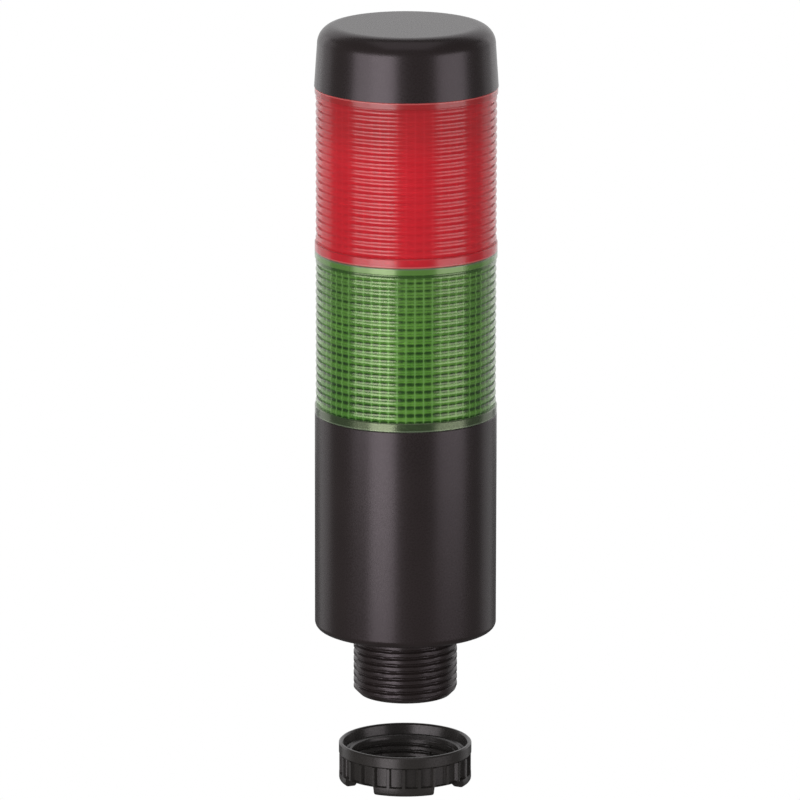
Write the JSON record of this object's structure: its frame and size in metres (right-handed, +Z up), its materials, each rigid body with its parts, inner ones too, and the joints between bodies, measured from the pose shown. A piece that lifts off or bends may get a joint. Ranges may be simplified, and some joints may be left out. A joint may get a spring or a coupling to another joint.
{
  "type": "stack light",
  "caption": "Compact stack light: red over green ring-ribbed lenses between a black cap and a tall base housing on a threaded panel spigot, with its castellated ring nut set apart below.",
  "frame": {"origin": "on the tower's axis, in the plane of the housing's underside, which seats on the panel", "axes": "+Z up along the tower, away from the panel; the threaded spigot points along -Z"},
  "size_m": [0.0384, 0.0384, 0.1628],
  "materials": {
    "black_plastic": "fine satin texture",
    "black_nut": "satin",
    "red_clear": "clear, ribbed outside and in",
    "green_clear": "clear, ribbed outside and in",
    "seal_rubber": "matte",
    "white_plastic": "white, diffuse",
    "circuit_board": "green solder mask",
    "white_board": "white solder mask",
    "zinc_steel": "zinc plated",
    "capacitor_sleeve": "dark sleeve",
    "black_moulding": "moulded",
    "grey_plastic": "moulded",
    "pin_brass": "tinned",
    "led_body": "moulded with a clear top"
  },
  "bodies": {
    "tower": {"cap": "black_plastic", "red_lens": "red_clear", "green_lens": "green_clear", "base_housing": "black_plastic", "cap_seal": "seal_rubber", "tier_seal": "seal_rubber", "base_seal": "seal_rubber", "panel_seal": "seal_rubber", "cable_grommet": "seal_rubber", "red_reflector": "white_plastic", "red_leds": "led_body", "red_led_board": "white_board", "upper_header": "black_moulding", "upper_pins": "pin_brass", "green_reflector": "white_plastic", "green_leds": "led_body", "green_led_board": "white_board", "lower_header": "black_moulding", "lower_pins": "pin_brass", "spacer_sleeve": "white_plastic", "connection_board": "circuit_board", "board_screws": "zinc_steel", "capacitor": "capacitor_sleeve", "board_parts": "black_moulding", "terminal_block": "grey_plastic", "terminal_clamps": "zinc_steel"},
    "nut": {"mounting_nut": "black_nut"}
  },
  "joints": [
    {"name": "nut_travel", "type": "slide", "parent": "tower", "child": "nut", "axis": [0, 0, 1], "range_m": [0, 0.0247]}
  ]
}
